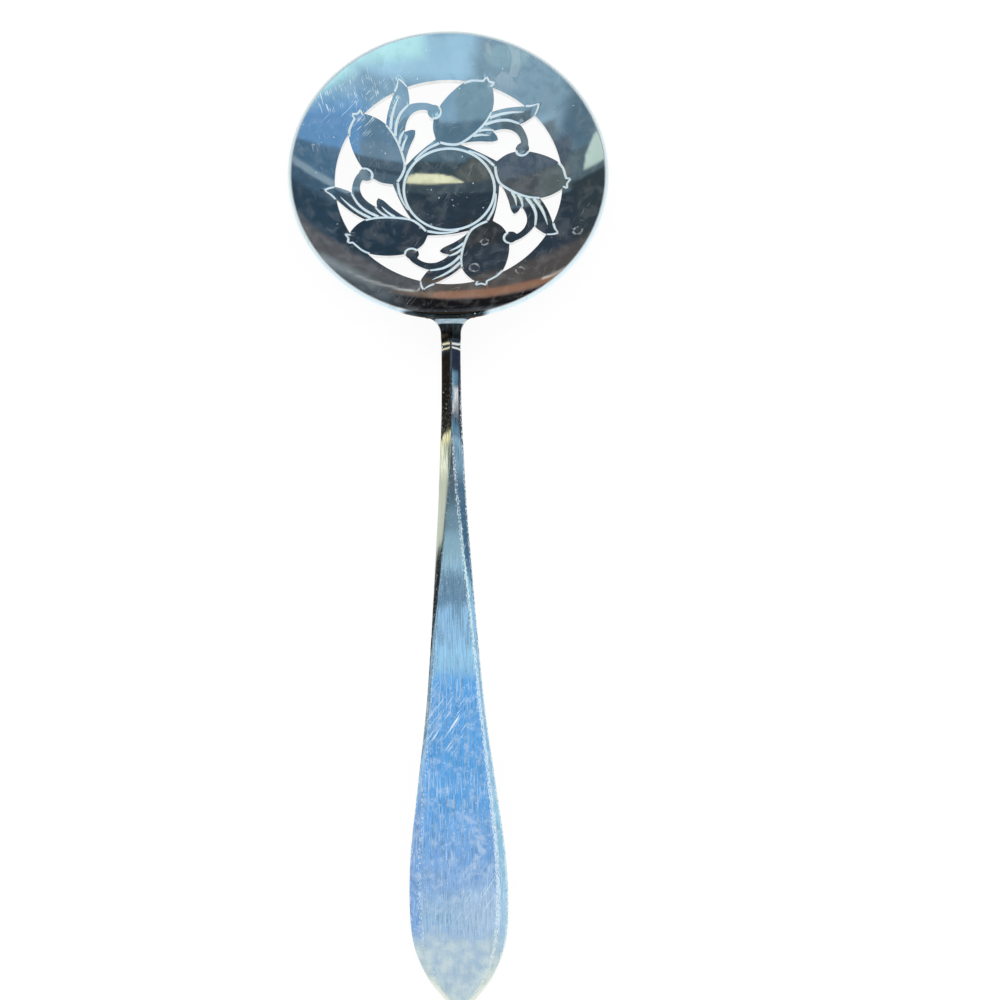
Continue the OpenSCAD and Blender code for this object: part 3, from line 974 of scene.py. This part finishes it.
room = {
    "floorSize": 3.0,
    "height": 0.2,
    "span": 86,
    "cells": 310,
    "waver": 0.4,  # how far, in degrees, the panels' edges stray
    "waverScale": 0.11,
    "seed": 5,
    "floorDrop": 0.1 * mm,
    "floorGrey": (0.2, 0.2, 0.2, 1),
    "floorGlow": 0.82,
    "air": (1, 1, 1, 1),
    "airGlow": 1,
    "base": (0.6, 0.75, 0.84),
    "panels": [
        # painted reflections: glowing panels, glints among them, that only the silver mirrors
        # colour on the screen, softness, corners in degrees from overhead: to the right, to the far side
        # the near sky, over the handle
        ((0.58, 0.74, 0.86), 3, [(-90, -13), (90, -13), (90, -16.5), (-90, -16.5)]),
        ((0.43, 0.58, 0.69), 2, [(-90, -16.5), (90, -16.5), (90, -24.4), (-90, -24.4)]),
        ((0.39, 0.53, 0.65), 1, [(-90, -19), (90, -19), (90, -20), (-90, -20)]),
        ((0.4, 0.55, 0.68), 1, [(-90, -22.8), (90, -22.8), (90, -24.2), (-90, -24.2)]),
        ((0.6, 0.79, 0.94), 0.6, [(-90, -24.4), (90, -24.4), (90, -32), (-90, -32)]),
        ((0.62, 0.84, 0.98), 1.5, [(-90, -28.5), (90, -28.5), (90, -32), (-90, -32)]),
        ((0.4, 0.69, 0.95), 0.8, [(-90, -32), (90, -32), (90, -90), (-90, -90)]),
        ((0.54, 0.71, 0.92), 5, [(-34, -50.5), (34, -50.5), (34, -90), (-34, -90)]),
        ((0.5, 0.68, 0.9), 6, [(-90, -31), (-34, -31), (-34, -54), (-90, -54)]),
        ((0.62, 0.82, 0.94), 6, [(34, -31), (90, -31), (90, -54), (34, -54)]),
        ((0.63, 0.78, 0.91), 1.2, [(-90, -53.6), (90, -53.6), (90, -90), (-90, -90)]),
        ((0.66, 0.76, 0.76), 3, [(-90, -62), (90, -62), (90, -90), (-90, -90)]),
        # the blue half over the bowl
        ((0.65, 0.83, 0.93), 8, [(-4, 6), (19, 6), (28, -16), (-10, -18)]),
        ((0.53, 0.68, 0.78), 4, [(-8, 12), (24, 12), (24, -4), (-8, -4)]),
        ((0.76, 0.97, 1), 5, [(6, -10), (26, -6), (36, -16), (20, -30), (6, -24)]),
        ((0.74, 0.97, 1), 6, [(26, -4), (46, 16), (70, 8), (50, -22), (34, -18)]),
        ((0.46, 0.66, 0.84), 9, [(19, 10), (23, 2), (36, 6), (42, 16), (27, 14)]),
        ((0.52, 0.65, 0.73), 4, [(-50, 12), (-18, 10), (-8, -2), (-10, -16), (-50, -14)]),
        ((0.57, 0.71, 0.77), 1.2, [(-22, -5), (-13, -6.5), (-11, -10), (-15, -12.5), (-28, -12)]),
        ((0.49, 0.63, 0.7), 1.5, [(-14, 9), (-3, 9), (-3, -3), (-14, -3)]),
        ((0.36, 0.49, 0.57), 1.5, [(-14, 16), (3, 16), (3, 8), (-14, 8)]),
        ((0.36, 0.47, 0.54), 7, [(-50, 26), (-23, 26), (-36, 4), (-50, 4)]),
        ((0.44, 0.55, 0.59), 2, [(-50, 24), (-42, 24), (-42, 17), (-50, 17)]),
        ((0.35, 0.44, 0.49), 1.5, [(-23, 15), (-14, 15), (-14, 7.5), (-23, 7.5)]),
        ((0.43, 0.5, 0.54), 2, [(-30, 20), (-17, 20), (-17, 12), (-30, 12)]),
        ((0.4, 0.54, 0.64), 2.5, [(5, 20), (23, 20), (23, 7.5), (5, 7.5)]),
        ((0.42, 0.62, 0.81), 5, [(22, 23), (50, 23), (50, 14), (22, 7)]),
        ((0.32, 0.46, 0.57), 2, [(26, 34), (50, 32), (50, 23), (26, 20)]),
        ((0.45, 0.57, 0.66), 2, [(9, 21), (22, 21), (22, 16), (9, 16)]),
        ((0.33, 0.42, 0.49), 0.8, [(9, 30), (27, 32), (27, 20.5), (9, 20.5)]),
        ((0.45, 0.55, 0.61), 1.5, [(18, 31), (26, 31.5), (26, 25), (18, 25)]),
        ((0.25, 0.33, 0.4), 0.5, [(10, 24.8), (27, 24.8), (27, 23.6), (10, 23.6)]),
        ((0.36, 0.46, 0.52), 2, [(-14, 20.5), (8, 20.5), (8, 15), (-14, 15)]),
        ((0.26, 0.31, 0.36), 1, [(-16, 27), (-6.5, 27), (-5, 19), (-16, 18)]),
        ((0.24, 0.31, 0.35), 1.5, [(-14, 27.5), (9, 27.5), (9, 19.8), (-14, 19.8)]),
        ((0.34, 0.37, 0.37), 1.5, [(-14, 27.5), (-5, 27.5), (-2, 23), (-6, 19), (-14, 20)]),
        ((0.33, 0.36, 0.38), 2, [(-34, 37), (-12, 37), (-12, 24), (-34, 24)]),
        ((0.32, 0.38, 0.44), 2, [(-34, 27), (-12, 27), (-12, 18.5), (-34, 18.5)]),
        ((0.38, 0.43, 0.44), 2, [(-34, 36), (-24, 36), (-24, 27), (-34, 27)]),
        ((0.35, 0.43, 0.47), 1, [(-50, 35), (-33, 35), (-33, 24), (-50, 24)]),
        # the dark far side
        ((0.22, 0.27, 0.3), 1, [(-60, 34), (-33, 34.5), (-33, 90), (-60, 90)]),
        ((0.2, 0.25, 0.3), 1.5, [(-34, 37), (12, 37), (12, 90), (-34, 90)]),
        ((0.27, 0.33, 0.37), 0.6, [(-14, 31), (12, 31), (12, 26.4), (-14, 26.4)]),
        ((0.19, 0.25, 0.3), 0.6, [(-13, 30.2), (12, 30.2), (12, 40), (-13, 40)]),
        ((0.17, 0.24, 0.3), 1, [(11, 31.5), (29, 34.8), (29, 90), (11, 90)]),
        ((0.26, 0.33, 0.39), 3, [(10, 41), (30, 41), (30, 33), (10, 31)]),
        ((0.19, 0.28, 0.35), 1, [(28, 34.8), (60, 29), (60, 90), (28, 90)]),
        ((0.28, 0.39, 0.48), 4, [(28, 39), (60, 34), (60, 26), (28, 33)]),
        ((0.52, 0.62, 0.69), 0.8, [(24, 35.4), (52, 28.8), (52, 26.4), (24, 32.8)]),
        ((0.21, 0.23, 0.25), 2, [(-14, 50), (-4, 50), (-4, 39), (-14, 39)]),
        ((0.34, 0.33, 0.33), 5, [(-50, 56), (-8, 63), (-8, 77), (-50, 77)]),
        ((0.36, 0.35, 0.34), 3, [(-10, 64), (8, 64), (8, 76), (-10, 76)]),
        ((0.37, 0.38, 0.4), 4, [(5, 68), (40, 49), (52, 58), (20, 78), (5, 74)]),
        ((0.6, 0.45, 0.37), 1.4, [
            (-40, 71.2), (-12, 70.9), (2, 71), (5, 72.6), (3, 74.4), (-10, 75.3), (-40, 74.4),
        ]),
        ((0.5, 0.43, 0.38), 1.6, [(3, 71.8), (16, 71.5), (16, 74), (4, 74.6)]),
        ((0.62, 0.68, 0.7), 5, [(15, 72), (22, 66.5), (32, 63), (38, 70), (24, 80), (15, 77)]),
        ((0.86, 0.88, 0.87), 0.6, [(6, 72), (25, 67.3), (20, 70), (8, 72.4)]),
        ((0.92, 0.92, 0.88), 0.6, [(-31, 70.4), (-24, 70.6), (-24, 71.5), (-31, 71.3)]),
        ((0.1, 0.1, 0.11), 1.2, [(-60, 75.2), (-8, 76), (-8, 82), (-60, 82)]),
        ((0.1, 0.1, 0.11), 1.2, [(-11, 76), (3, 74.8), (13, 74.6), (14, 82), (-11, 82)]),
        ((0.3, 0.34, 0.37), 14, [(12, 70), (34, 66), (34, 86), (12, 86)]),
        ((0.28, 0.3, 0.33), 2, [(-90, 81.5), (90, 81.5), (90, 90), (-90, 90)]),
        # to the left of the handle
        ((0.13, 0.12, 0.11), 1, [(-80, 59), (-48, 59), (-48, 38), (-80, 38)]),
        ((0.98, 0.94, 0.78), 0.4, [(-70, 62.6), (-48, 62.6), (-48, 61), (-70, 61)]),
        ((0.36, 0.4, 0.38), 1, [(-60, 37), (-50, 37), (-50, 10), (-60, 10)]),
        ((0.16, 0.18, 0.2), 3, [(-90, 10), (-50, 10), (-50, -9), (-90, -9)]),
        ((0.94, 0.98, 0.91), 0.6, [(-90, 37), (-57.8, 37), (-58.7, 10.5), (-90, 10.5)]),
        ((0.97, 0.96, 0.76), 0.7, [(-90, 39), (-54, 39), (-55, 36.2), (-90, 36.2)]),
        # to the right of the handle
        ((0.16, 0.2, 0.28), 1.5, [(48, 60), (80, 60), (80, 36), (48, 36)]),
        ((1, 1, 0.98), 0.4, [(48, 62.8), (70, 62.8), (70, 61), (48, 61)]),
        ((0.54, 0.69, 0.78), 1.5, [(50, 37.5), (90, 37.5), (90, 33), (50, 33)]),
        ((0.33, 0.5, 0.64), 2, [(50, 34), (90, 34), (90, -2), (50, -2)]),
        ((0.42, 0.6, 0.7), 1.6, [(52, 53), (55.5, 53), (56.5, 38), (52, 38)]),
        ((1, 1, 1), 0.4, [(55.3, 47.8), (56.3, 47.8), (57.2, 43.2), (56.4, 43.2)]),
        ((0.58, 0.78, 0.92), 4, [(50, -3), (90, -3), (90, -31), (50, -31)]),
        # two windows
        ((0.93, 0.94, 0.8), 0.35, [
            (-4.5, 26.6), (10.2, 27), (9.7, 24.6), (7.5, 23.8), (2, 23.6), (-1.5, 24.4),
        ]),
        ((0.78, 0.88, 0.85), 0.6, [(-52, 31.9), (-37, 31.9), (-38.2, 27), (-41.5, 21.5), (-52, 21.5)]),
    ],
}


def asLight(colour):
    # from a colour on the screen to the light that shows it
    dark, bright = np.array(colour) / 12.92, ((np.array(colour) + 0.055) / 1.055) ** 2.4
    return np.where(np.array(colour) <= 0.04045, dark, bright)


def paintPanel(paint, spots, colour, soft, corners):
    # over the colours so far, inside the panel's corners and fading at its edges
    here = np.array(corners, float)
    ahead = np.roll(here, -1, axis=0)
    turn = np.sign(np.sum(here[:, 0] * ahead[:, 1] - ahead[:, 0] * here[:, 1]))
    inward = np.column_stack([here[:, 1] - ahead[:, 1], ahead[:, 0] - here[:, 0]]) * turn
    inward /= np.linalg.norm(inward, axis=1)[:, None]
    depth = np.min([(spots - corner) @ normal for corner, normal in zip(here, inward)], axis=0)
    share = np.clip(depth / soft + 0.5, 0, 1)
    share = share ** 2 * (3 - 2 * share)
    return paint + (asLight(colour) - paint) * share[:, None]


def paintedCeiling():
    # a grid in degrees from overhead, whose points are then put on a flat ceiling
    bpy.ops.object.select_all(action="DESELECT")
    bpy.ops.mesh.primitive_grid_add(x_subdivisions=room["cells"], y_subdivisions=room["cells"], size=2)
    ceiling = bpy.context.object
    ceiling.name = ceiling.data.name = "mirroredCeiling"
    mesh = ceiling.data
    even = np.array([vert.co[:2] for vert in mesh.vertices])
    angles = room["span"] * (even + even ** 3) / 2  # closer together in the middle
    noise.seed_set(room["seed"])
    wavers = [noise.noise_vector((x, y, 0))[:2] for x, y in angles * room["waverScale"]]
    spots = angles + np.array(wavers) * room["waver"]
    paint = np.tile(asLight(room["base"]), (len(spots), 1))
    for panel in room["panels"]:
        paint = paintPanel(paint, spots, *panel)
    colours = mesh.color_attributes.new("paint", "FLOAT_COLOR", "POINT")
    colours.data.foreach_set("color", np.column_stack([paint, np.ones(len(paint))]).ravel())
    away = np.maximum(np.linalg.norm(angles, axis=1), joined)
    reach = np.tan(np.radians(np.minimum(away, room["span"]))) * room["height"] / away
    flat = np.column_stack([angles * reach[:, None], np.full(len(away), room["height"])])
    mesh.vertices.foreach_set("co", flat.ravel())
    mesh.update()
    ceiling.visible_camera = ceiling.visible_diffuse = ceiling.visible_shadow = False
    ceiling.visible_transmission = ceiling.visible_volume_scatter = False
    glow, tree = newMaterial("ceilingPaint")
    tree.nodes.clear()
    painted = addNode(tree, "VertexColor", layer_name="paint").outputs["Color"]
    shine = addNode(tree, "Emission", {"Color": painted}).outputs[0]
    addNode(tree, "OutputMaterial", {"Surface": shine})
    mesh.materials.append(glow)
    return ceiling


def paleFloor():
    # nearly white by its own glow, so that only a faint shadow shows
    bpy.ops.object.select_all(action="DESELECT")
    bpy.ops.mesh.primitive_plane_add(size=room["floorSize"], location=(0, 0, -room["floorDrop"]))
    floor = bpy.context.object
    floor.name = "floor"
    pale, tree = newMaterial("paleFloor")
    tree.nodes.clear()
    matt = addNode(tree, "BsdfDiffuse", {"Color": room["floorGrey"]}).outputs[0]
    shine = addNode(tree, "Emission", {"Strength": room["floorGlow"]}).outputs[0]
    both = addNode(tree, "AddShader", {0: matt, 1: shine}).outputs[0]
    addNode(tree, "OutputMaterial", {"Surface": both})
    floor.data.materials.append(pale)
    return floor


paleFloor()
paintedCeiling()

air = bpy.data.worlds.new("air")
bpy.context.scene.world = air
air.use_nodes = True
backdrop = air.node_tree.nodes["Background"].inputs
backdrop["Color"].default_value = room["air"]
backdrop["Strength"].default_value = room["airGlow"]
print("stage set")

view = {
    "position": (3.468, -139.02, 252.68),
    "turn": 4.446,
    "down": 74.077,
    "roll": 3.245,
    "lens": 48.28,
    "sensor": 36,
    "nearest": 0.005,
    "farthest": 20,
}
bpy.ops.object.camera_add()
camera = bpy.context.object
camera.name = "camera"
az, el, roll = (math.radians(view[k]) for k in ("turn", "down", "roll"))
ahead = Vector((math.sin(az) * math.cos(el), math.cos(az) * math.cos(el), -math.sin(el)))
level = Vector((math.cos(az), -math.sin(az), 0))
upward = level.cross(ahead)
right = math.cos(roll) * level + math.sin(roll) * upward
upright = -math.sin(roll) * level + math.cos(roll) * upward
facing = Matrix((right, upright, -ahead)).transposed().to_4x4()
camera.matrix_world = Matrix.Translation(Vector(view["position"]) * mm) @ facing
camera.data.lens = view["lens"]
camera.data.sensor_width = view["sensor"]
camera.data.clip_start = view["nearest"]
camera.data.clip_end = view["farthest"]
bpy.context.scene.camera = camera
bpy.context.scene.view_settings.view_transform = "Standard"
